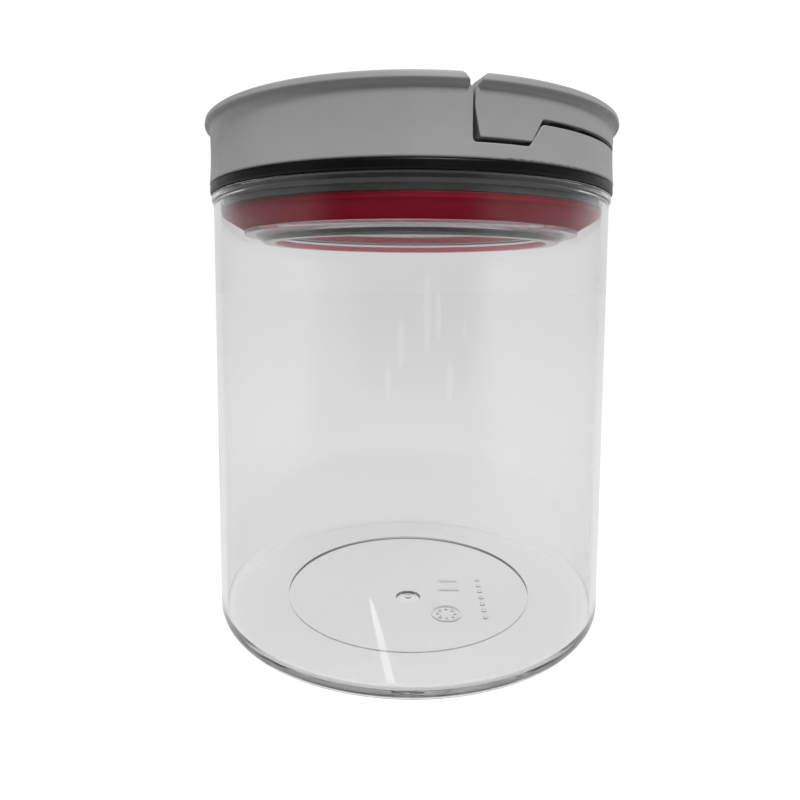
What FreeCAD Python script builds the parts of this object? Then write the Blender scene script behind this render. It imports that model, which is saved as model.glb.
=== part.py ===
"""Food canister: a round clear jar with a flip-lock lid, in millimetres.

+Z is up and the origin is the middle of the jar's foot. The lid's handle turns on an axis along Y,
and its half ring lies on the +X side. Turning the handle up lowers the plug, which lets the silicone
seal relax.
"""
import FreeCAD, Part
import math
import os

os.makedirs("parts", exist_ok=True)

# --- Driving dimensions -------------------------------------------------------------------------
jar_radius = 54.0
jar_wall = 1.5
jar_height = 114.3
base_corner = 3.7
floor_thickness = 1.5
floor_fillet = 2.4
recess_radius = 35.1
recess_depth = 0.9
marks_turn = -19.0
mark_height = 0.25
gate_place = (0.0, -8.0)
dial_place = (10.5, -17.0)
square_place = (12.0, -1.0)
pip_line = 21.0
pip_spacing = 3.6

gasket_height = 2.4
gasket_gap = 0.1
band_base = jar_height + gasket_gap + gasket_height
lid_height = 16.6
lid_top = band_base + lid_height
lip_radius = 55.9
waist_radius = 54.5
band_wall = 1.6
handle_wall = 1.0
ring_inner = 46.1
wall_inner = 44.0

pivot_height = lid_top - 4.4
handle_gap = 0.35
slit_x = -5.5
low_ledge = pivot_height - 9.0
high_ledge = pivot_height - 4.15
slope_radius = 11.75
ear_radius = 11.4
ear_inner_y = 46.2
ear_outer_y = 49.2
cheek_y = 49.7

cover_thickness = 1.2
cover_top = lid_top - 0.6
cover_base = cover_top - cover_thickness
skirt_depth = 2.0
window_x = 13.0

collar_outer = 51.6
collar_inner = 49.4
deck_base = 110.5
deck_thickness = 2.2
deck_top = deck_base + deck_thickness

plug_base = 102.4
plug_window = 38.0
plug_ceiling = 105.0
plug_plate = 1.5
flange_radius = 46.3
flange_base = 104.3
flange_top = 105.3
seal_outer = 52.2
seal_inner = 40.5
core_base = plug_ceiling + plug_plate
core_thickness = 2.0
frame_base = 117.9
frame_thickness = 2.5
post_place = 17.0

lift = 3.0
pin_radius = 1.2
pin_arm = 6.0
groove_clearance = 0.1
journal_radius = 1.9
cam_base_y = 42.9
cam_thickness = 3.0

post_radius = 4.0
screw_circle = 41.5
screw_radius = 1.2
screw_length = 6.0
lug_base = band_base + 1.5
lug_thickness = 2.2
head_radius = 2.4
head_height = 1.6

axis_y = FreeCAD.Vector(0, 1, 0)
axis_z = FreeCAD.Vector(0, 0, 1)
quarters = (45, 135, 225, 315)


# --- Shape helpers ------------------------------------------------------------------------------
def outline(start, *steps):
    """A closed face in the XZ plane: a step is a point for a line, or (middle, end) for an arc."""
    edges = []
    here = start
    for step in steps + (start,):
        is_arc = isinstance(step[0], tuple)
        end = step[1] if is_arc else step
        if is_arc:
            places = [FreeCAD.Vector(u, 0, v) for u, v in (here, step[0], end)]
            edges.append(Part.Arc(*places).toShape())
        elif math.dist(here, end) > 1e-6:
            first, last = [FreeCAD.Vector(u, 0, v) for u, v in (here, end)]
            edges.append(Part.makeLine(first, last))
        here = end
    return Part.Face(Part.Wire(edges))


def rounded(*corners):
    """Outline steps through (u, v, radius) corners, each rounded to its own radius."""
    steps = []
    for i, (u, v, radius) in enumerate(corners):
        here = FreeCAD.Vector(u, v)
        if radius == 0:
            steps.append((u, v))
            continue
        before = FreeCAD.Vector(*corners[i - 1][:2]).sub(here).normalize()
        after = FreeCAD.Vector(*corners[(i + 1) % len(corners)][:2]).sub(here).normalize()
        half = before.getAngle(after) / 2
        inward = (before + after).normalize()
        middle = here + inward * (radius / math.sin(half) - radius)
        first, last = [here + side * (radius / math.tan(half)) for side in (before, after)]
        steps.append((first.x, first.y))
        steps.append(((middle.x, middle.y), (last.x, last.y)))
    start = steps[-1][1] if isinstance(steps[-1][0], tuple) else steps[-1]
    return start, *steps


def turned(start, *steps):
    """Turn an (r, z) outline about the jar's axis."""
    return outline(start, *steps).revolve(FreeCAD.Vector(), axis_z, 360)


def across(low_y, high_y, start, *steps):
    """Stretch an (x, z) outline along Y from low_y to high_y."""
    face = outline(start, *steps)
    face.translate(FreeCAD.Vector(0, low_y, 0))
    return face.extrude(FreeCAD.Vector(0, high_y - low_y, 0))


def ring(inner, outer, low, high):
    return turned((inner, low), (outer, low), (outer, high), (inner, high))


def disc(radius, low, high, x=0.0, y=0.0):
    return Part.makeCylinder(radius, high - low, FreeCAD.Vector(x, y, low), axis_z)


def rod(radius, low_y, high_y, x=0.0, z=pivot_height):
    return Part.makeCylinder(radius, high_y - low_y, FreeCAD.Vector(x, low_y, z), axis_y)


def box(low, high):
    size = [b - a for a, b in zip(low, high)]
    return Part.makeBox(*size, FreeCAD.Vector(*low))


def on_circle(radius, degrees):
    turn = math.radians(degrees)
    return radius * math.cos(turn), radius * math.sin(turn)


def mirrored(shape):
    return shape.mirror(FreeCAD.Vector(), axis_y)


def fused(shapes):
    return shapes[0].multiFuse(shapes[1:]).removeSplitter()


def save(name, shape):
    shape.exportStep("parts/" + name + ".step")


def on_arc_at_height(radius, z):
    """The +X point at height z on a circle about the handle's axis."""
    rise = z - pivot_height
    return math.sqrt(radius ** 2 - rise ** 2), z


# --- Jar ----------------------------------------------------------------------------------------
def make_jar():
    inner = jar_radius - jar_wall
    bead = jar_radius + 0.5
    bead_base = jar_height - 1.5
    diagonal = math.sqrt(0.5)
    corner_centre = jar_radius - base_corner
    fillet_centre = inner - floor_fillet
    floor_top = recess_depth + floor_thickness
    jar = turned(
        (0, recess_depth),
        (recess_radius, recess_depth),
        (recess_radius + 0.3, 0),
        (corner_centre, 0),
        ((corner_centre + base_corner * diagonal, base_corner * (1 - diagonal)), (jar_radius, base_corner)),
        (jar_radius, bead_base - 0.9),
        (bead, bead_base),
        (bead, jar_height - 0.4),
        ((bead - 0.12, jar_height - 0.12), (bead - 0.4, jar_height)),
        (inner + 0.3, jar_height),
        (inner, jar_height - 0.5),
        (inner, floor_top + floor_fillet),
        ((fillet_centre + floor_fillet * diagonal, floor_top + floor_fillet * (1 - diagonal)),
         (fillet_centre, floor_top)),
        (0, floor_top),
    )
    x, y = gate_place
    dimple = turned(
        (0, recess_depth - 0.1),
        (3.5, recess_depth - 0.1),
        ((2.6, recess_depth + 0.5), (0, recess_depth + 0.7)),
    )
    dimple.translate(FreeCAD.Vector(x, y, 0))
    dimple.rotate(FreeCAD.Vector(), axis_z, marks_turn)
    return fused([jar.cut(dimple)] + make_marks())


def make_marks():
    """The gate's stub and plain raised marks under the floor: a dial of dots, a square and a row of pips."""
    low = recess_depth - mark_height
    high = recess_depth + 0.2
    dial = ring(3.7, 4.2, low, high)
    dial.translate(FreeCAD.Vector(*dial_place, 0))
    marks = [disc(0.9, recess_depth, recess_depth + 1.0, *gate_place), dial]
    for i in range(8):
        x, y = on_circle(2.4, 45 * i)
        marks.append(disc(0.4, low, high, dial_place[0] + x, dial_place[1] + y))
    x, y = square_place
    outer, inner = 3.0, 2.5
    frame = box((x - outer, y - outer, low), (x + outer, y + outer, high))
    marks.append(frame.cut(box((x - inner, y - inner, low - 1), (x + inner, y + inner, high + 1))))
    for i in range(-3, 4):
        marks.append(disc(0.7, low, high, pip_line, gate_place[1] + pip_spacing * i))
    for mark in marks:
        mark.rotate(FreeCAD.Vector(), axis_z, marks_turn)
    return marks


# --- Lid ----------------------------------------------------------------------------------------
def band_outline(inner):
    """The (r, z) steps of the lid's waisted outer face, from the bottom edge to the flared lip."""
    return (
        (inner, band_base),
        (waist_radius + 0.1, band_base),
        ((waist_radius + 0.3, band_base + 0.1), (waist_radius + 0.4, band_base + 0.4)),
        ((waist_radius, band_base + 7.8), (waist_radius + 0.12, lid_top - 2.9)),
        ((waist_radius + 0.25, lid_top - 2.35), (waist_radius + 0.7, lid_top - 2.0)),
        (waist_radius + 1.1, lid_top - 1.8),
        (lip_radius - 0.06, lid_top - 1.6),
        (lip_radius, lid_top - 1.35),
        (lip_radius - 0.15, lid_top - 0.35),
        (lip_radius - 0.55, lid_top),
        (inner, lid_top),
    )


def fixed_cut(offset):
    """Everything above the lid's ledges on the handle's side; offset shifts it down into the wall."""
    left = slit_x - offset
    low = low_ledge - offset
    high = high_ledge - offset
    reach = slope_radius + offset
    far = 70.0
    slope_low = on_arc_at_height(reach, low)
    slope_high = on_arc_at_height(reach, high)
    return across(-far, far, *rounded(
        (left, low, 0.8),
        (*slope_low, 0.8),
        (*slope_high, 1.0),
        (far, high, 0),
        (far, lid_top + 5, 0),
        (left - 14.0, lid_top + 5, 0),
        (left - 2.3, lid_top - 0.25, 1.8),
        (left, pivot_height + 1.2, 3.0),
    ))


def handle_zone():
    """The handle's own outline seen along its axis, clear of the lid by the visible slits."""
    far = 70.0
    reach = slope_radius - handle_gap
    base = pivot_height - 7.9
    arm_base = pivot_height - 3.0
    slope_low = on_arc_at_height(reach, base)
    slope_high = on_arc_at_height(reach, arm_base)
    return across(-far, far, *rounded(
        (-3.95, base, 0.5),
        (*slope_low, 0.6),
        (*slope_high, 1.0),
        (far, arm_base, 0),
        (far, lid_top + 5, 0),
        (10.0, lid_top + 5, 0),
        (-3.3, lid_top - 0.25, 1.8),
        (-5.05, pivot_height + 1.2, 3.0),
        (-5.05, pivot_height - 2.0, 6.0),
    ))


def make_lid_shell():
    rim = turned(*band_outline(ring_inner - 0.1))
    inner_wall = ring(wall_inner, ring_inner, band_base, cover_base)
    above_ledges = fixed_cut(0.0).cut(disc(ring_inner, band_base, lid_top + 2))
    rim = rim.cut(above_ledges)
    below_roof = ring(ring_inner, waist_radius - band_wall, band_base - 1, lid_top - band_wall)
    rim = rim.cut(below_roof.cut(fixed_cut(band_wall)))
    seat = disc(ring_inner + 0.1, cover_base, lid_top + 1)
    body = fused([rim.cut(seat), inner_wall])

    window = box((-window_x, wall_inner - 2.0, band_base - 1), (window_x, ear_inner_y, lid_top + 1))
    body = body.cut(window).cut(mirrored(window))

    ear_foot = low_ledge - band_wall
    shoulder = high_ledge - band_wall / 2
    ear = rod(ear_radius, ear_inner_y, ear_outer_y)
    ear = fused([ear, box((-window_x - 2, ear_inner_y, ear_foot), (window_x + 2, ear_outer_y, shoulder))])
    ear = ear.common(box((-20, 0, ear_foot), (20, 60, cover_base)))
    low_cheek = box((window_x, 40.8, ear_foot), (window_x + 2, ear_outer_y, shoulder))
    tall_cheek = box((-window_x - 2, 40.8, ear_foot), (-window_x, ear_outer_y, cover_base))
    ear = fused([ear, low_cheek, tall_cheek]).cut(rod(journal_radius + 0.05, 40, 60))
    tab_seat = box((-11.2, ring_inner - 2, cover_base), (0, ear_outer_y + 0.2, lid_top + 1))
    body = fused([body.cut(tab_seat).cut(mirrored(tab_seat)), ear, mirrored(ear)])

    for degrees in quarters:
        x, y = on_circle(screw_circle, degrees)
        lug = disc(3.6, lug_base, lug_base + lug_thickness, x, y)
        body = body.fuse(lug).cut(disc(screw_radius + 0.2, lug_base - 1, lug_base + 5, x, y))
    return body.removeSplitter()


def make_top_cover():
    plate = disc(ring_inner - 0.1, cover_base, cover_top)
    tab = box((-10.6, ring_inner - 3, cover_base), (10.6, ear_outer_y, cover_top))
    skirt = ring(wall_inner - 2.2, wall_inner - 0.3, cover_base - skirt_depth, cover_base)
    mechanism = box((-15, 34, cover_base - 5), (15, 50, cover_base))
    skirt = skirt.cut(mechanism).cut(mirrored(mechanism))
    cover = fused([plate, tab, mirrored(tab), skirt])
    top_edges = [edge for edge in cover.Edges if edge.BoundBox.ZMin > cover_top - 0.01]
    return cover.makeFillet(0.3, top_edges)


def make_lower_housing():
    collar = turned(
        (0, deck_base),
        (collar_outer - 0.3, deck_base),
        ((collar_outer - 0.09, deck_base + 0.09), (collar_outer, deck_base + 0.3)),
        (collar_outer, band_base),
        (waist_radius - band_wall - 0.1, band_base),
        (waist_radius - band_wall - 0.1, lug_base),
        (collar_inner, lug_base),
        (collar_inner, deck_top),
        (0, deck_top),
    )
    for degrees in quarters:
        x, y = on_circle(screw_circle, degrees)
        collar = collar.fuse(disc(2.4, deck_top - 0.1, lug_base, x, y))
        collar = collar.cut(disc(screw_radius, lug_base - screw_length, lug_base + 1, x, y))
        collar = collar.cut(disc(post_radius + 0.4, deck_base - 1, deck_top + 1, *corner(degrees)))
    return collar.removeSplitter()


def make_rim_gasket():
    low = jar_height + gasket_gap
    inner = collar_outer + 0.1
    return turned(
        (inner, low),
        (jar_radius + 0.3, low),
        ((jar_radius + 0.85, low + gasket_height / 2), (jar_radius + 0.3, low + gasket_height)),
        (inner, low + gasket_height),
    )


# --- Handle -------------------------------------------------------------------------------------
def make_handle():
    inner = ring_inner + 0.3
    rib_count = 9
    body = turned(*band_outline(inner)).common(handle_zone())
    near_ears = rod(ear_radius + 0.6, -cheek_y, cheek_y)
    body = body.cut(near_ears)
    end_wall_x = 14.0
    channel = ring(inner + band_wall, waist_radius - handle_wall, band_base, lid_top - band_wall)
    channel = channel.common(box((end_wall_x, -70, band_base), (70, 70, lid_top)))
    for i in range(rib_count):
        degrees = 64.0 * (2 * i / (rib_count - 1) - 1)
        rib = box((40, -0.6, band_base), (60, 0.6, lid_top))
        rib.rotate(FreeCAD.Vector(), axis_z, degrees)
        channel = channel.cut(rib)
    body = body.cut(channel)
    socket = drive_stub(0.0)
    return body.cut(socket).cut(mirrored(socket)).removeSplitter()


def drive_stub(shortening):
    """The cam's two-flatted end, or the socket for it in the handle's cheek when nothing is taken off."""
    round_end = rod(journal_radius, ear_inner_y, cheek_y + 3.2 - shortening)
    across_flats = 1.4
    return round_end.common(box((-across_flats, 0, 0), (across_flats, 60, lid_top)))


def spiral_point(turn, sideways=0.0):
    """A point on the groove's middle line, moved sideways from it; turn runs from 0 to 90 degrees."""
    per_radian = lift / (math.pi / 2)
    angle = -math.pi / 2 - math.radians(turn)
    arm = pin_arm + per_radian * math.radians(turn)
    along_u = per_radian * math.cos(angle) + arm * math.sin(angle)
    along_v = per_radian * math.sin(angle) - arm * math.cos(angle)
    length = math.hypot(along_u, along_v)
    u = arm * math.cos(angle) - sideways * along_v / length
    v = arm * math.sin(angle) + sideways * along_u / length
    return FreeCAD.Vector(u, 0, pivot_height + v)


def spiral_band(half_width, low_y, high_y):
    """A band of even width along the groove's spiral, with round ends."""
    turns = range(0, 91, 10)
    sides = []
    for side in (-half_width, half_width):
        curve = Part.BSplineCurve()
        curve.interpolate([spiral_point(turn, side) for turn in turns])
        sides.append(curve.toShape())
    caps = []
    for turn in (0, 90):
        caps.append(Part.makeLine(spiral_point(turn, -half_width), spiral_point(turn, half_width)))
    face = Part.Face(Part.Wire(Part.sortEdges(sides + caps)[0]))
    face.translate(FreeCAD.Vector(0, low_y, 0))
    band = face.extrude(FreeCAD.Vector(0, high_y - low_y, 0))
    ends = [spiral_point(turn) for turn in (0, 90)]
    return fused([band] + [rod(half_width, low_y, high_y, end.x, end.z) for end in ends])


def make_cam():
    """The +Y cam: a plate with a spiral groove, a journal through the ear and a drive stub."""
    low_y = cam_base_y
    high_y = cam_base_y + cam_thickness
    groove = pin_radius + groove_clearance
    plate_edge = 2.1
    hub = rod(2.4, low_y, high_y)
    web_points = [(0.0, pivot_height)]
    for turn in range(0, 91, 15):
        web_points.append((spiral_point(turn).x, spiral_point(turn).z))
    web = across(low_y, high_y, *web_points)
    plate = fused([hub, web, spiral_band(groove + 1.4, low_y, high_y)])
    plate = plate.common(box((-20, 0, 100), (plate_edge, 60, pivot_height + plate_edge)))
    plate = plate.cut(spiral_band(groove, low_y - 1, high_y + 1))
    journal = rod(journal_radius, high_y - 0.5, ear_outer_y + 0.3)
    return fused([plate, journal, drive_stub(0.4)])


# --- Plug and lift ------------------------------------------------------------------------------

def corner(degrees):
    """The place of the lift post nearest to this direction."""
    return on_circle(post_place * math.sqrt(2), degrees)


def make_plug():
    top = deck_base - 0.5
    sleeve = seal_inner - 0.3
    return turned(
        (0, plug_ceiling),
        (plug_window - 0.4, plug_ceiling),
        ((plug_window - 0.12, plug_ceiling - 0.12), (plug_window, plug_ceiling - 0.4)),
        (plug_window, plug_base + 0.2),
        (plug_window + 0.2, plug_base),
        (plug_window + 3.0, plug_base),
        ((plug_window + 4.4, plug_base + 1.05), (plug_window + 5.6, flange_base)),
        (flange_radius - 0.3, flange_base),
        ((flange_radius - 0.09, flange_base + 0.09), (flange_radius, flange_base + 0.3)),
        (flange_radius, flange_top),
        (sleeve, flange_top),
        (sleeve, top),
        (sleeve - 1.8, top),
        (sleeve - 1.8, core_base),
        (0, core_base),
    )


def make_seal():
    """A silicone ring with a conical underside and a groove inside that lets it squeeze outwards."""
    gap = 0.05
    low = flange_top + gap
    high = deck_base - gap
    skirt = 1.4
    middle = (low + high) / 2
    return turned(
        (seal_inner, low),
        (flange_radius - 0.5, low),
        (seal_outer - 0.15, high - skirt - 0.15),
        ((seal_outer - 0.03, high - skirt), (seal_outer, high - skirt + 0.2)),
        (seal_outer, high - 0.2),
        (seal_outer - 0.2, high),
        (seal_inner, high),
        (seal_inner, middle + 0.9),
        (seal_inner + 6.5, middle + 0.9),
        ((seal_inner + 7.4, middle), (seal_inner + 6.5, middle - 0.9)),
        (seal_inner, middle - 0.9),
    )


def make_lift_core():
    plate = disc(seal_inner - 2.3, core_base, core_base + core_thickness)
    posts = [disc(post_radius, core_base, frame_base, *corner(degrees)) for degrees in quarters]
    core = fused([plate] + posts)
    for degrees in quarters:
        core = core.cut(disc(screw_radius, frame_base - screw_length, frame_base + 1, *corner(degrees)))
    return core


def make_lift_frame():
    top = frame_base + frame_thickness
    reach = 42.4
    half = post_place + 4.5
    plate = box((-half, -half, frame_base), (half, half, top))
    plate = plate.makeFillet(4.0, [edge for edge in plate.Edges if edge.Length < frame_thickness + 0.1])
    beam = box((-6, -reach, frame_base), (6, reach, top))
    pin_height = pivot_height - pin_arm
    ear = box((-4, reach - 3, frame_base), (4, reach, pin_height))
    ear = ear.fuse(rod(4.0, reach - 3, reach, 0, pin_height))
    frame = fused([plate, beam, ear, mirrored(ear)])
    frame = frame.cut(disc(10.0, frame_base - 1, top + 1))
    for degrees in quarters:
        frame = frame.cut(disc(screw_radius + 0.2, frame_base - 1, top + 1, *corner(degrees)))
    return frame.cut(rod(pin_radius, -60, 60, 0, pin_height))


def make_lift_pin():
    return rod(pin_radius, cam_base_y - 5.0, cam_base_y + 2.8, 0, pivot_height - pin_arm)


def screw(x, y, seat):
    """A pan-head screw pointing down whose head sits at this height, with a cross slot."""
    head = disc(head_radius, seat, seat + head_height, x, y)
    top_edges = [edge for edge in head.Edges if edge.BoundBox.ZMin > seat + head_height - 0.01]
    head = head.makeFillet(0.5, top_edges)
    shank = disc(screw_radius, seat - screw_length, seat, x, y)
    slot_top = seat + head_height + 0.1
    slots = [box((x - u, y - v, seat + 0.7), (x + u, y + v, slot_top)) for u, v in ((1.4, 0.3), (0.3, 1.4))]
    return fused([head, shank]).cut(slots[0]).cut(slots[1])


def make_housing_screws():
    return Part.makeCompound([screw(*on_circle(screw_circle, d), lug_base + lug_thickness) for d in quarters])


def make_plug_screws():
    return Part.makeCompound([screw(*corner(d), frame_base + frame_thickness) for d in quarters])


save("jar", make_jar())
save("lid_shell", make_lid_shell())
save("top_cover", make_top_cover())
save("lower_housing", make_lower_housing())
save("housing_screws", make_housing_screws())
save("rim_gasket", make_rim_gasket())
save("handle", make_handle())
save("plug", make_plug())
save("seal", make_seal())
save("lift_core", make_lift_core())
save("lift_frame", make_lift_frame())
save("plug_screws", make_plug_screws())
for side, place in (("rear", lambda shape: shape), ("front", mirrored)):
    save("cam_" + side, place(make_cam()))
    save("lift_pin_" + side, place(make_lift_pin()))
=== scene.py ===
"""Food canister with a flip-lock lid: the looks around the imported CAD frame. Lengths are in metres."""
import math

import bmesh
import bpy
from mathutils import Euler, Matrix, Vector


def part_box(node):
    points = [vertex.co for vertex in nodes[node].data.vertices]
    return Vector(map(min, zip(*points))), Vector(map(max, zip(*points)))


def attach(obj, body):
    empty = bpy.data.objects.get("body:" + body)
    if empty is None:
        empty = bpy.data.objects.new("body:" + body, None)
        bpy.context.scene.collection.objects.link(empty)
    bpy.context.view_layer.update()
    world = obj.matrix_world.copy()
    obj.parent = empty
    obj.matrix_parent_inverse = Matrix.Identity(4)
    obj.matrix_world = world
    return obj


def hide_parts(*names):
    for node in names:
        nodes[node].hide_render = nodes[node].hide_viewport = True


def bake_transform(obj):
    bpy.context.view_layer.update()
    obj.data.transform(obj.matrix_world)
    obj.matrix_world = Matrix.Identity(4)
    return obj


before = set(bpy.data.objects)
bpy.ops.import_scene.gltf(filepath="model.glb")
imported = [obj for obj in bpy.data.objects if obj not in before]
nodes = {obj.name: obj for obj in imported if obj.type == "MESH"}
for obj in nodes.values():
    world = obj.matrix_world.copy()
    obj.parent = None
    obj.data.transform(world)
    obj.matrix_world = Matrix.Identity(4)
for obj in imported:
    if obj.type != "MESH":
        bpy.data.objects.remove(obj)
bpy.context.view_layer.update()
MM = 0.001
ON_AXIS = 1e-6
TURN_SEGMENTS = 288
SHARP_TURNED = 40.0
SHARP_JOINED = 22.0


# --- Mesh helpers -------------------------------------------------------------------------------
def arc(centre, radius, start, stop, steps):
    """(r, z) points in millimetres on an arc, from start to stop degrees."""
    points = []
    for i in range(steps + 1):
        turn = math.radians(start + (stop - start) * i / steps)
        points.append((centre[0] + radius * math.cos(turn), centre[1] + radius * math.sin(turn)))
    return points


def held(profile):
    """The outline with a point near each end of its long straights, so smooth shading stays flat there."""
    long_straight = 0.8
    hold = 0.06
    points = []
    for k, (r, z) in enumerate(profile):
        next_r, next_z = profile[(k + 1) % len(profile)]
        points.append((r, z))
        length = math.dist((r, z), (next_r, next_z))
        if length > long_straight and not (r < ON_AXIS and next_r < ON_AXIS):
            for share in (hold / length, 1 - hold / length):
                points.append((r + (next_r - r) * share, z + (next_z - z) * share))
    return points


def lathe(name, outline, segments=TURN_SEGMENTS):
    """A closed (r, z) outline in millimetres turned about the Z axis into a smooth-shaded mesh."""
    profile = held(outline)
    count = len(profile)
    vertices, faces, ring_start = [], [], []
    for r, z in profile:
        ring_start.append(len(vertices))
        if r < ON_AXIS:
            vertices.append((0.0, 0.0, z * MM))
            continue
        for i in range(segments):
            turn = 2 * math.pi * i / segments
            vertices.append((r * math.cos(turn) * MM, r * math.sin(turn) * MM, z * MM))
    for k in range(count):
        here, there = ring_start[k], ring_start[(k + 1) % count]
        here_axis = profile[k][0] < ON_AXIS
        there_axis = profile[(k + 1) % count][0] < ON_AXIS
        if here_axis and there_axis:
            continue
        for i in range(segments):
            j = (i + 1) % segments
            if here_axis:
                faces.append((here, there + j, there + i))
            elif there_axis:
                faces.append((here + i, here + j, there))
            else:
                faces.append((here + i, here + j, there + j, there + i))
    mesh = bpy.data.meshes.new(name)
    mesh.from_pydata(vertices, [], faces)
    mesh.validate()
    shade(mesh, SHARP_TURNED)
    piece = bpy.data.objects.new(name, mesh)
    bpy.context.scene.collection.objects.link(piece)
    return piece


def shade(mesh, sharp_above):
    """Smooth shading, apart from edges sharper than this many degrees."""
    mesh.shade_smooth()
    mesh.set_sharp_from_angle(angle=math.radians(sharp_above))


def solid(name, build):
    """A closed mesh object from a function that fills a bmesh, in millimetres."""
    shape = bmesh.new()
    build(shape)
    bmesh.ops.scale(shape, vec=(MM, MM, MM), verts=shape.verts)
    mesh = bpy.data.meshes.new(name)
    shape.to_mesh(mesh)
    shape.free()
    piece = bpy.data.objects.new(name, mesh)
    bpy.context.scene.collection.objects.link(piece)
    return piece


def cylinder(shape, radius, low, high, x, y, segments):
    """An upright cylinder from low to high, added to a bmesh."""
    place = Matrix.Translation((x, y, (low + high) / 2))
    bmesh.ops.create_cone(shape, cap_ends=True, segments=segments, radius1=radius, radius2=radius,
                          depth=high - low, matrix=place)


def combine(piece, tool, operation):
    """Cut the tool out of the piece, or join it on, and delete the tool."""
    step = piece.modifiers.new("combine", "BOOLEAN")
    step.operation = operation
    step.solver = "EXACT"
    step.object = tool
    bpy.context.view_layer.update()
    evaluated = piece.evaluated_get(bpy.context.evaluated_depsgraph_get())
    mesh = bpy.data.meshes.new_from_object(evaluated)
    piece.modifiers.clear()
    piece.data = mesh
    bpy.data.objects.remove(tool)
    shade(mesh, SHARP_JOINED)


# --- Material helpers ---------------------------------------------------------------------------
DRIFT_SCALE = 60
SHEEN_SCALE = 400
GRAIN_SCALE = 6000
GRAIN_HEIGHT = 0.00001
WAVE_SCALE = 25
WAVE_HEIGHT = 0.00002
CLEAR_IOR = 1.49


def new_material(name):
    """A material with its node tree and its shader node."""
    material = bpy.data.materials.new(name)
    material.use_nodes = True
    tree = material.node_tree
    return material, tree, tree.nodes["Principled BSDF"]


def noise(tree, scale, detail=4.0):
    """Noise over the object's own coordinates; scale is in cells per metre."""
    place = tree.nodes.new("ShaderNodeTexCoord")
    pattern = tree.nodes.new("ShaderNodeTexNoise")
    pattern.inputs["Scale"].default_value = scale
    pattern.inputs["Detail"].default_value = detail
    pattern.inputs["Roughness"].default_value = 0.5
    tree.links.new(place.outputs["Object"], pattern.inputs["Vector"])
    return pattern.outputs["Fac"]


def ramp(tree, value, low, high):
    """A colour or grey ramp from low to high, over the middle of a noise's range."""
    node = tree.nodes.new("ShaderNodeValToRGB")
    node.color_ramp.elements[0].position = 0.35
    node.color_ramp.elements[1].position = 0.65
    node.color_ramp.elements[0].color = low
    node.color_ramp.elements[1].color = high
    tree.links.new(value, node.inputs["Fac"])
    return node.outputs["Color"]


def remap(tree, value, start, end, low, high):
    """A level that goes from low to high while the value goes from start to end."""
    node = tree.nodes.new("ShaderNodeMapRange")
    node.interpolation_type = "SMOOTHSTEP"
    node.inputs["From Min"].default_value = start
    node.inputs["From Max"].default_value = end
    tree.links.new(value, node.inputs["Value"])
    for name, source in (("To Min", low), ("To Max", high)):
        if isinstance(source, float):
            node.inputs[name].default_value = source
        else:
            tree.links.new(source, node.inputs[name])
    return node.outputs["Result"]


def grey(level):
    """A grey colour of this level."""
    return (level, level, level, 1.0)


def bump(tree, shader, height, distance, edge=0.0):
    """Bump from a height; edge is the radius over which sharp edges are shaded as rounded."""
    node = tree.nodes.new("ShaderNodeBump")
    if edge > 0:
        soft = tree.nodes.new("ShaderNodeBevel")
        soft.samples = 6
        soft.inputs["Radius"].default_value = edge
        tree.links.new(soft.outputs["Normal"], node.inputs["Normal"])
    node.inputs["Distance"].default_value = distance
    node.inputs["Strength"].default_value = 1.0
    tree.links.new(height, node.inputs["Height"])
    tree.links.new(node.outputs["Normal"], shader.inputs["Normal"])


def moulded(name, dark, light, roughness, gloss=0.5, edge=0.0):
    """Opaque moulded plastic or rubber with a fine spark-eroded grain and faint colour drift."""
    material, tree, shader = new_material(name)
    shader.inputs["Specular IOR Level"].default_value = gloss
    colour = ramp(tree, noise(tree, DRIFT_SCALE), dark, light)
    tree.links.new(colour, shader.inputs["Base Color"])
    spread = ramp(tree, noise(tree, SHEEN_SCALE), grey(roughness - 0.05), grey(roughness + 0.05))
    tree.links.new(spread, shader.inputs["Roughness"])
    bump(tree, shader, noise(tree, GRAIN_SCALE, 2.0), GRAIN_HEIGHT, edge)
    return material


def silicone(name, dark, light):
    """Soft red silicone, with painted shade darker up to its top edge and a painted glow, for the light from
    the clear flange, in its lowest face.

    The heights are the seal's at rest. A blended piece's own coordinates change with the pose, so there the
    painted shade and the painted glow don't stay in place.
    """
    painted_shade_from = 0.1078
    painted_shade_to = 0.1102
    lowest_face = 0.10536
    above_face = 0.10542
    material, tree, shader = new_material(name)
    place = tree.nodes.new("ShaderNodeTexCoord")
    split = tree.nodes.new("ShaderNodeSeparateXYZ")
    tree.links.new(place.outputs["Object"], split.inputs["Vector"])
    # Painted shade: the base colour darkens towards the top edge, where the lid's band shades the ring.
    painted_top_shade = remap(tree, split.outputs["Z"], painted_shade_from, painted_shade_to, 1.0, 0.28)
    scaled = tree.nodes.new("ShaderNodeVectorMath")
    scaled.operation = "SCALE"
    tree.links.new(ramp(tree, noise(tree, DRIFT_SCALE), dark, light), scaled.inputs[0])
    tree.links.new(painted_top_shade, scaled.inputs["Scale"])
    tree.links.new(scaled.outputs["Vector"], shader.inputs["Base Color"])
    spread = ramp(tree, noise(tree, SHEEN_SCALE), grey(0.45), grey(0.55))
    tree.links.new(spread, shader.inputs["Roughness"])
    shader.inputs["Specular IOR Level"].default_value = 0.12
    # Painted light: a pink emission glow in the lowest face stands in for light reflected up through the
    # clear flange.
    shader.inputs["Emission Color"].default_value = (1.0, 0.3, 0.38, 1)
    glow = remap(tree, split.outputs["Z"], lowest_face, above_face, 0.5, 0.0)
    tree.links.new(glow, shader.inputs["Emission Strength"])
    bump(tree, shader, noise(tree, GRAIN_SCALE, 2.0), GRAIN_HEIGHT)
    return material


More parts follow.
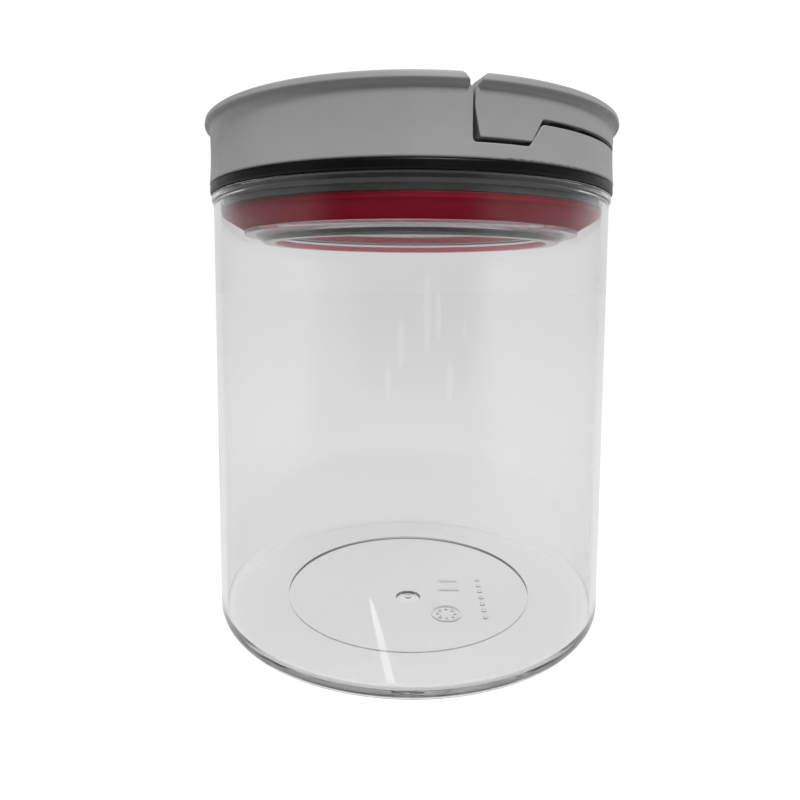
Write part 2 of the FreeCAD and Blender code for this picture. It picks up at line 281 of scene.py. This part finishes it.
def clear(name, tint, roughness, clarity=1.0):
    """Clear plastic with a slight tint and a very slight waviness from moulding. Lamps shine through it."""
    material, tree, shader = new_material(name)
    shader.inputs["Base Color"].default_value = tint
    shader.inputs["Transmission Weight"].default_value = clarity
    shader.inputs["IOR"].default_value = CLEAR_IOR
    spread = ramp(tree, noise(tree, 120), grey(roughness), grey(roughness + 0.02))
    tree.links.new(spread, shader.inputs["Roughness"])
    bump(tree, shader, noise(tree, WAVE_SCALE, 1.0), WAVE_HEIGHT)
    open_air = tree.nodes.new("ShaderNodeBsdfTransparent")
    open_air.inputs["Color"].default_value = tint
    rays = tree.nodes.new("ShaderNodeLightPath")
    mix = tree.nodes.new("ShaderNodeMixShader")
    tree.links.new(rays.outputs["Is Shadow Ray"], mix.inputs[0])
    tree.links.new(shader.outputs["BSDF"], mix.inputs[1])
    tree.links.new(open_air.outputs["BSDF"], mix.inputs[2])
    tree.links.new(mix.outputs["Shader"], tree.nodes["Material Output"].inputs["Surface"])
    return material


def metal(name):
    """Bright steel with a fine change of sheen."""
    material, tree, shader = new_material(name)
    shader.inputs["Metallic"].default_value = 1.0
    colour = ramp(tree, noise(tree, 900), grey(0.5), grey(0.62))
    tree.links.new(colour, shader.inputs["Base Color"])
    spread = ramp(tree, noise(tree, 2500), grey(0.25), grey(0.4))
    tree.links.new(spread, shader.inputs["Roughness"])
    return material


SOFT_EDGE = 0.0004
LID_GREY = moulded("lid_grey", (0.290, 0.283, 0.285, 1), (0.308, 0.301, 0.303, 1), 0.45, 0.35, SOFT_EDGE)
HOUSING_GREY = moulded("housing_grey", (0.135, 0.141, 0.143, 1), (0.15, 0.156, 0.158, 1), 0.35)
BLACK_RUBBER = moulded("black_rubber", grey(0.004), grey(0.007), 0.35, 0.12)
RED_SILICONE = silicone("red_silicone", (0.52, 0.011, 0.040, 1), (0.57, 0.014, 0.046, 1))
WHITE_ACETAL = moulded("white_acetal", (0.68, 0.68, 0.65, 1), (0.74, 0.74, 0.71, 1), 0.35)
STEEL = metal("steel")
CLEAR_JAR = clear("clear_jar", (0.84, 0.843, 0.842, 1), 0.0)
CLEAR_PLUG = clear("clear_plug", (0.96, 0.962, 0.962, 1), 0.02, 0.85)

FINISH = {
    "lid_shell": LID_GREY,
    "handle": LID_GREY,
    "top_cover": LID_GREY,
    "lower_housing": HOUSING_GREY,
    "lift_core": LID_GREY,
    "lift_frame": WHITE_ACETAL,
    "cam_front": WHITE_ACETAL,
    "cam_rear": WHITE_ACETAL,
    "housing_screws": STEEL,
    "plug_screws": STEEL,
    "lift_pin_front": STEEL,
    "lift_pin_rear": STEEL,
}


def dress(piece, material):
    """Give every slot of the piece this material."""
    slots = piece.data.materials
    if len(slots) == 0:
        slots.append(material)
    for i in range(len(slots)):
        slots[i] = material


for node_name, finish in FINISH.items():
    dress(nodes[node_name], finish)


# --- Turned pieces ------------------------------------------------------------------------------
RECESS_RADIUS = 35.4
RECESS_TOP = 0.9
MARKS_TURN = -19.0
MARK_HEIGHT = 0.25
GATE_PLACE = (0.0, -8.0)
DIAL_PLACE = (10.5, -17.0)
DIAL_DOTS = 8
SQUARE_PLACE = (12.0, -1.0)
SQUARE_FIRST = 45
PIP_LINE = 21.0
PIP_SPACING = 3.6


def make_jar():
    """The jar: a straight wall on a rounded foot, with a recess under its floor."""
    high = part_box("jar")[1]
    top = high.z / MM
    bead = high.x / MM
    outer = 54.0
    inner = 52.5
    foot = 3.7
    floor_top = 2.4
    fillet = 2.4
    rim = 0.4
    profile = [(0, RECESS_TOP), (RECESS_RADIUS, RECESS_TOP), (RECESS_RADIUS, 0.0)]
    profile += arc((outer - foot, foot), foot, -90, 0, 12)
    profile += [(outer, top - 2.4), (bead, top - 1.5)]
    profile += arc((bead - rim, top - rim), rim, 0, 90, 4)
    profile += [(inner + 0.3, top), (inner, top - 0.5)]
    profile += arc((inner - fillet, floor_top + fillet), fillet, 0, -90, 12)
    profile += [(0, floor_top)]
    piece = lathe("jar_clear", profile)
    combine(piece, make_dimple(), "DIFFERENCE")
    combine(piece, solid("marks", fill_marks), "UNION")
    return piece


def on_floor(u, v):
    """A place under the floor, on axes turned like the mould's marks."""
    turn = math.radians(MARKS_TURN)
    return u * math.cos(turn) - v * math.sin(turn), u * math.sin(turn) + v * math.cos(turn)


def make_dimple():
    """The shallow domed hollow round the gate."""
    profile = [(0, RECESS_TOP - 0.4), (3.6, RECESS_TOP - 0.4), (3.5, RECESS_TOP)]
    profile += [(3.35, RECESS_TOP + 0.12), (3.0, RECESS_TOP + 0.32), (2.4, RECESS_TOP + 0.52)]
    profile += [(1.4, RECESS_TOP + 0.66), (0, RECESS_TOP + 0.7)]
    tool = lathe("dimple", profile, 64)
    x, y = on_floor(*GATE_PLACE)
    tool.location = (x * MM, y * MM, 0)
    return tool


def fill_marks(shape):
    """The gate's stub, a dial of dots, a square outline and a row of pips, raised under the floor."""
    low = RECESS_TOP - MARK_HEIGHT
    high = RECESS_TOP + 0.2
    cylinder(shape, 0.9, RECESS_TOP, RECESS_TOP + 1.0, *on_floor(*GATE_PLACE), 32)
    dots = 2.4
    for i in range(DIAL_DOTS):
        turn = math.radians(360 / DIAL_DOTS * i)
        place = on_floor(DIAL_PLACE[0] + dots * math.cos(turn), DIAL_PLACE[1] + dots * math.sin(turn))
        cylinder(shape, 0.4, low, high, *place, 16)
    for i in range(-3, 4):
        cylinder(shape, 0.7, low, high, *on_floor(PIP_LINE, GATE_PLACE[1] + PIP_SPACING * i), 24)
    add_frame(shape, DIAL_PLACE, 3.7, 4.2, 48, low, high)
    half_diagonal = math.sqrt(2)
    add_frame(shape, SQUARE_PLACE, 2.5 * half_diagonal, 3.0 * half_diagonal, 4, low, high, SQUARE_FIRST)


def add_frame(shape, centre, inner, outer, sides, low, high, first=0):
    """A ring with this many sides, the first corner at this many degrees: four make a square outline."""
    rings = []
    for radius, z in ((inner, low), (outer, low), (outer, high), (inner, high)):
        corners = []
        for i in range(sides):
            turn = math.radians(first + 360 * i / sides)
            x, y = on_floor(centre[0] + radius * math.cos(turn), centre[1] + radius * math.sin(turn))
            corners.append(shape.verts.new((x, y, z)))
        rings.append(corners)
    for k in range(4):
        here, there = rings[k], rings[(k + 1) % 4]
        for i in range(sides):
            j = (i + 1) % sides
            shape.faces.new((here[i], here[j], there[j], there[i]))


def make_plug():
    """The plug: a disc over a shallow well, a foot and a flange below, and a sleeve above."""
    well = 38.0
    foot_bottom = 102.4
    disc_bottom = 105.0
    disc_top = 106.5
    flange = 46.3
    flange_bottom = 104.3
    flange_top = 105.3
    sleeve_inner = 38.4
    sleeve_outer = 40.2
    sleeve_top = 110.0
    profile = [(0, disc_bottom), (well - 0.4, disc_bottom), (well - 0.12, disc_bottom - 0.12)]
    profile += [(well, disc_bottom - 0.4), (well, foot_bottom + 0.2), (well + 0.06, foot_bottom + 0.06)]
    profile += [(well + 0.2, foot_bottom), (41.0, foot_bottom), (41.5, 102.75), (42.0, 103.1)]
    profile += [(42.4, 103.45), (43.0, 103.88), (43.6, flange_bottom), (flange - 0.3, flange_bottom)]
    profile += [(flange - 0.09, flange_bottom + 0.09), (flange, flange_bottom + 0.3)]
    profile += [(flange, flange_top), (sleeve_outer, flange_top), (sleeve_outer, sleeve_top)]
    profile += [(sleeve_inner, sleeve_top), (sleeve_inner, disc_top), (0, disc_top)]
    return lathe("plug_clear", profile)


def make_seal():
    """The silicone ring: a conical wiping face below, a squeeze groove inside."""
    low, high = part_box("seal")
    outer = high.x / MM
    base = low.z / MM
    top = high.z / MM
    inner = 40.5
    middle = (base + top) / 2
    rounding = 0.35
    groove_depth = 6.5
    groove = 0.9
    profile = [(inner + 0.2, base), (45.6, base), (45.9, base + 0.08)]
    profile += [(outer - 0.45, top - 1.75), (outer - 0.12, top - 1.5), (outer, top - 1.15)]
    profile += arc((outer - rounding, top - rounding), rounding, 0, 90, 4)
    profile += [(inner + 0.2, top), (inner, top - 0.2), (inner, middle + groove)]
    profile += arc((inner + groove_depth, middle), groove, 90, -90, 8)
    profile += [(inner, middle - groove), (inner, base + 0.2)]
    return lathe("seal_ring", profile)


def make_gasket():
    """The black ring between the jar's rim and the lid's band, with a rounded outer edge."""
    low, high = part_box("rim_gasket")
    outer = high.x / MM
    base = low.z / MM
    top = high.z / MM
    inner = 51.7
    rounding = 0.6
    profile = [(inner, base), (outer - rounding, base)]
    profile += arc((outer - rounding, base + rounding), rounding, -90, 0, 5)[1:]
    profile += arc((outer - rounding, top - rounding), rounding, 0, 90, 5)
    profile += [(inner, top)]
    return lathe("gasket_ring", profile)


jar = make_jar()
dress(jar, CLEAR_JAR)
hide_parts("jar")
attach(jar, "jar")

plug = make_plug()
dress(plug, CLEAR_PLUG)
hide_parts("plug")
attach(plug, "plug")

seal = make_seal()
dress(seal, RED_SILICONE)
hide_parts("seal")
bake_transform(seal)

gasket = make_gasket()
dress(gasket, BLACK_RUBBER)
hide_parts("rim_gasket")
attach(gasket, "lid")


# --- Stage --------------------------------------------------------------------------------------
CAMERA_AZIMUTH = -19.0
DARK_AZIMUTH = -5.0
DARK_FROM = 0.55
DARK_TO = 0.85
SIDES = 0.75
DARK = 0.01


def around(azimuth, distance, height):
    """A place at this azimuth from the camera's side, positive to the camera's right."""
    turn = math.radians(CAMERA_AZIMUTH + azimuth)
    return (distance * math.sin(turn), -distance * math.cos(turn), height)


def by_path(tree, seen, lighting, mirrored):
    """One level for what is seen, directly or through clear plastic, one for lighting and one for mirroring.

    The last is a socket, whose level differs by direction.
    """
    rays = tree.nodes.new("ShaderNodeLightPath")
    level = remap(tree, rays.outputs["Glossy Depth"], 0, 1, seen, mirrored)
    return remap(tree, rays.outputs["Diffuse Depth"], 0, 1, level, lighting)


def toward_camera(tree, direction):
    """1 on the side of the stage's viewpoint, -1 behind the canister, for a direction or a place."""
    unit = tree.nodes.new("ShaderNodeVectorMath")
    unit.operation = "NORMALIZE"
    tree.links.new(direction, unit.inputs[0])
    facing = tree.nodes.new("ShaderNodeVectorMath")
    facing.operation = "DOT_PRODUCT"
    facing.inputs[1].default_value = around(DARK_AZIMUTH, 1, 0)
    tree.links.new(unit.outputs["Vector"], facing.inputs[0])
    return facing.outputs["Value"]


def make_floor():
    """A pale floor just under the foot, with a glow of its own that keeps it even out to the horizon."""
    mesh = bpy.data.meshes.new("floor")
    half = 6.0
    level = -0.0002
    corners = [(-half, -half, level), (half, -half, level), (half, half, level), (-half, half, level)]
    mesh.from_pydata(corners, [], [(0, 1, 2, 3)])
    floor = bpy.data.objects.new("floor", mesh)
    bpy.context.scene.collection.objects.link(floor)
    material, tree, shader = new_material("floor_white")
    shader.inputs["Base Color"].default_value = grey(0.1)
    shader.inputs["Roughness"].default_value = 0.9
    shader.inputs["Specular IOR Level"].default_value = 0.0
    shader.inputs["Emission Color"].default_value = (1, 1, 1, 1)
    place = tree.nodes.new("ShaderNodeTexCoord").outputs["Object"]
    far = remap(tree, toward_camera(tree, place), DARK_FROM, DARK_TO, SIDES, DARK)
    length = tree.nodes.new("ShaderNodeVectorMath")
    length.operation = "LENGTH"
    tree.links.new(place, length.inputs[0])
    # Painted shadow: close round the foot the floor's mirrored glow drops to 0.4, the jar's own shade on the
    # floor.
    near = remap(tree, length.outputs["Value"], 0.049, 0.057, 0.4, SIDES)
    mirrored = remap(tree, length.outputs["Value"], 0.12, 0.35, near, far)
    tree.links.new(by_path(tree, 0.97, 0.28, mirrored), shader.inputs["Emission Strength"])
    material.cycles.emission_sampling = "NONE"
    dress(floor, material)


def make_world():
    """A white studio that is dark behind the camera and overhead, which shapes what the plastic mirrors."""
    world = bpy.data.worlds.new("studio")
    world.use_nodes = True
    tree = world.node_tree
    direction = tree.nodes.new("ShaderNodeTexCoord").outputs["Generated"]
    facing = toward_camera(tree, direction)
    horizon = remap(tree, facing, DARK_FROM, DARK_TO, SIDES, DARK)
    split = tree.nodes.new("ShaderNodeSeparateXYZ")
    tree.links.new(direction, split.inputs["Vector"])
    front = remap(tree, facing, DARK_FROM, DARK_TO, 0.36 * SIDES, DARK)
    upper = remap(tree, facing, -0.6, -0.1, SIDES, front)
    walls = remap(tree, split.outputs["Z"], 0.02, 0.16, horizon, upper)
    mirrored = remap(tree, split.outputs["Z"], 0.36, 0.5, walls, DARK)
    background = tree.nodes["Background"]
    background.inputs["Color"].default_value = (1, 1, 1, 1)
    tree.links.new(by_path(tree, 1.02, 0.34, mirrored), background.inputs["Strength"])
    world.cycles.sampling_method = "NONE"
    bpy.context.scene.world = world


def softbox(name, place, aim, width, height, watts, shape="RECTANGLE", lean=0.0):
    """A flat lamp that faces its aim, turned about that line by lean degrees."""
    light = bpy.data.lights.new(name, "AREA")
    light.shape = shape
    light.size = width
    light.size_y = height
    light.energy = watts
    lamp = bpy.data.objects.new(name, light)
    lamp.location = place
    look = (Vector(aim) - Vector(place)).to_track_quat("-Z", "Y").to_matrix()
    lamp.rotation_euler = (look @ Matrix.Rotation(math.radians(lean), 3, "Z")).to_euler()
    bpy.context.scene.collection.objects.link(lamp)
    return lamp


def place_lights():
    """A large lamp above, a fill lamp on each side, and a thin one behind for a streak in the floor."""
    middle = (0, 0, 0.08)
    softbox("key_top", around(18, 0.55, 0.85), middle, 0.22, 0.22, 8.3)
    for name, azimuth, watts in (("fill_left", -78, 1.1), ("fill_right", 95, 0.55)):
        fill = softbox(name, around(azimuth, 0.5, 0.4), middle, 0.3, 0.3, watts)
        fill.visible_glossy = False
        fill.visible_transmission = False
    softbox("rear_strip", around(182.4, 0.8, 0.54), middle, 0.014, 0.23, 0.016, "ELLIPSE", 17)


def place_glints():
    """Faint narrow strips behind the camera, mirrored as upright streaks in the jar's front."""
    brightness = 0.7
    strips = ((-10.5, 0.002, 0.030, 0.020), (-4.2, 0.028, 0.066, 0.024), (8.5, 0.040, 0.100, 0.026),
              (14.0, 0.050, 0.085, 0.020), (20.0, 0.004, 0.034, 0.026), (27.0, 0.050, 0.066, 0.010))
    for azimuth, bottom, top, width in strips:
        place = around(azimuth, 0.4, (bottom + top) / 2)
        watts = brightness * math.pi * width * (top - bottom)
        glint = softbox("glint", place, (0, 0, place[2]), width, top - bottom, watts, "ELLIPSE")
        glint.visible_camera = False
        glint.visible_diffuse = False
        glint.visible_transmission = False


def make_camera():
    """The viewpoint: 19 degrees round from the hinge line, a little above the middle."""
    azimuth = math.radians(CAMERA_AZIMUTH)
    distance = 0.18363
    height = 0.09123
    tilt_down = 4.96
    turn_left = 0.871
    data = bpy.data.cameras.new("camera")
    data.sensor_width = 36.0
    data.lens = 28.46
    data.shift_y = -0.0754
    data.clip_start = 0.01
    data.clip_end = 20
    camera = bpy.data.objects.new("camera", data)
    camera.location = (distance * math.sin(azimuth), -distance * math.cos(azimuth), height)
    pitch = math.radians(90 - tilt_down)
    yaw = azimuth + math.radians(turn_left)
    roll = math.radians(0.27)
    turn = Euler((pitch, 0, yaw)).to_matrix() @ Euler((0, 0, roll)).to_matrix()
    camera.rotation_euler = turn.to_euler()
    bpy.context.scene.collection.objects.link(camera)
    bpy.context.scene.camera = camera


make_floor()
make_world()
place_lights()
place_glints()
make_camera()
bpy.context.scene.view_settings.view_transform = "Standard"
bounces = bpy.context.scene.cycles
bounces.max_bounces = 32
bounces.glossy_bounces = 24
bounces.transmission_bounces = 24
bounces.transparent_max_bounces = 24
